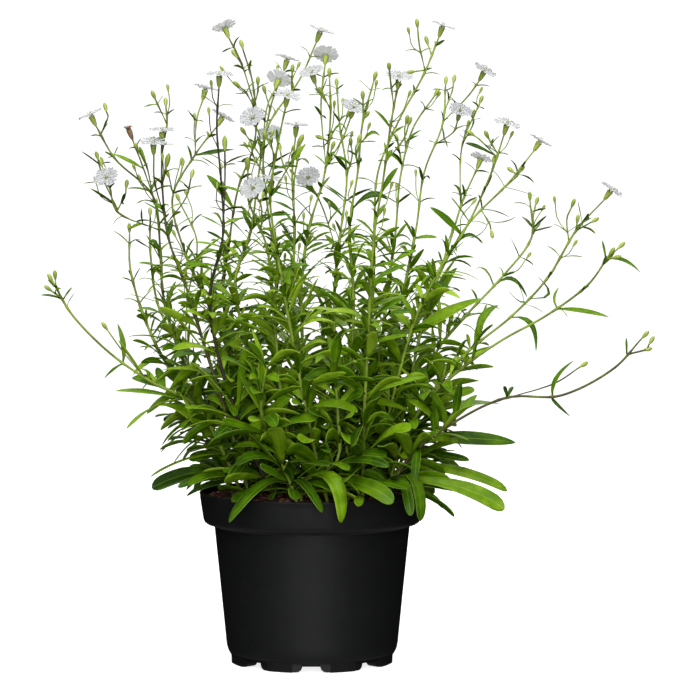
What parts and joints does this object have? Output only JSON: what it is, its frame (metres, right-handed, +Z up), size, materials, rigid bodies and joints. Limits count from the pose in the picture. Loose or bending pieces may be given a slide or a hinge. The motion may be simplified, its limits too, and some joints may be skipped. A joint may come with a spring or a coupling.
{
  "type": "potted flowering plant",
  "caption": "Bushy plant with lance-shaped leaves, thin forked stems and small white five-petalled flowers, growing in a round black nursery pot.",
  "frame": {"origin": "on the pot's axis, in the plane of its feet", "axes": "+Z up along the pot's axis; -Y towards the viewer of the picture; +X to the right of it"},
  "size_m": [0.3405, 0.2081, 0.3716],
  "materials": {
    "black_plastic": "satin black",
    "compost": "rough dark brown",
    "leaf_green": "soft sheen, bright green",
    "petal_white": "matt white"
  },
  "bodies": {
    "root": {"corolla_01": "petal_white", "corolla_02": "petal_white", "corolla_03": "petal_white", "corolla_04": "petal_white", "corolla_05": "petal_white", "corolla_06": "petal_white", "corolla_07": "petal_white", "corolla_08": "petal_white", "corolla_09": "petal_white", "corolla_10": "petal_white", "corolla_11": "petal_white", "corolla_12": "petal_white", "corolla_13": "petal_white", "corolla_14": "petal_white", "corolla_15": "petal_white", "corolla_16": "petal_white", "corolla_17": "petal_white", "corolla_18": "petal_white", "corolla_19": "petal_white", "corolla_20": "petal_white", "corolla_21": "petal_white", "corolla_22": "petal_white", "corolla_23": "petal_white", "corolla_24": "petal_white", "corolla_25": "petal_white", "corolla_26": "petal_white", "corolla_27": "petal_white", "corolla_28": "petal_white", "corolla_29": "petal_white", "pot": "black_plastic", "soil": "compost", "stem_back_skirt": "leaf_green", "stem_centre_back": "leaf_green", "stem_centre_fan": "leaf_green", "stem_centre_right": "leaf_green", "stem_dark": "leaf_green", "stem_front_left": "leaf_green", "stem_front_middle": "leaf_green", "stem_front_skirt": "leaf_green", "stem_left_high": "leaf_green", "stem_left_reach": "leaf_green", "stem_left_second": "leaf_green", "stem_left_slant": "leaf_green", "stem_left_tall": "leaf_green", "stem_left_thin": "leaf_green", "stem_left_wand": "leaf_green", "stem_middle": "leaf_green", "stem_middle_back": "leaf_green", "stem_pale": "leaf_green", "stem_right_arch": "leaf_green", "stem_right_back": "leaf_green", "stem_right_bowed": "leaf_green", "stem_right_curved": "leaf_green", "stem_right_low": "leaf_green", "stem_right_reach": "leaf_green", "stem_right_side": "leaf_green", "stem_right_swept": "leaf_green", "stem_right_tall": "leaf_green", "stem_right_upper": "leaf_green", "stem_right_wing": "leaf_green"}
  },
  "joints": []
}
